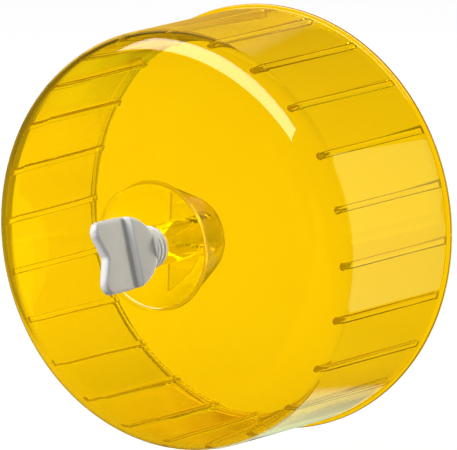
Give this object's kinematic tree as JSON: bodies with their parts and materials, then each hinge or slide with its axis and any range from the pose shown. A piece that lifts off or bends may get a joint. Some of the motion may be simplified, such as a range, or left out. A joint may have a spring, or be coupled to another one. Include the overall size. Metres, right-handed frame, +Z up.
{
  "type": "hamster wheel",
  "caption": "Clear drum exercise wheel, open on one side with rungs inside, turning on a pin that a wing knob clamps to cage wires.",
  "frame": {"origin": "on the axle at the clamping plane, the front face of the inner washer", "axes": "+Y along the axle from the knob towards the open side of the drum, +Z up, +X to the right as seen from the knob"},
  "size_m": [0.14, 0.0903, 0.14],
  "materials": {
    "clear_yellow_plastic": "polished transparent yellow plastic",
    "pale_grey_plastic": "satin moulded plastic, off-white",
    "grey_knob_plastic": "satin moulded plastic, light grey"
  },
  "bodies": {
    "axle": {"axle_pin": "pale_grey_plastic", "inner_washer": "pale_grey_plastic"},
    "drum": {"drum": "clear_yellow_plastic"},
    "clamp": {"outer_washer": "pale_grey_plastic"},
    "knob": {"wing_knob": "grey_knob_plastic"}
  },
  "joints": [
    {"name": "drum_spin", "type": "hinge", "parent": "axle", "child": "drum", "pos_m": [0, 0.012, 0], "axis": [0, 1, 0], "continuous": true},
    {"name": "clamp_slide", "type": "slide", "parent": "axle", "child": "clamp", "axis": [0, -1, 0], "range_m": [0, 0.004]},
    {"name": "knob_turn", "type": "hinge", "parent": "clamp", "child": "knob", "pos_m": [0, -0.0021, 0], "axis": [0, -1, 0], "range_deg": [0, 720]}
  ],
  "couplings": [
    {"joint": "clamp_slide", "follows": "knob_turn", "m_per_rad": 0.0003183}
  ]
}
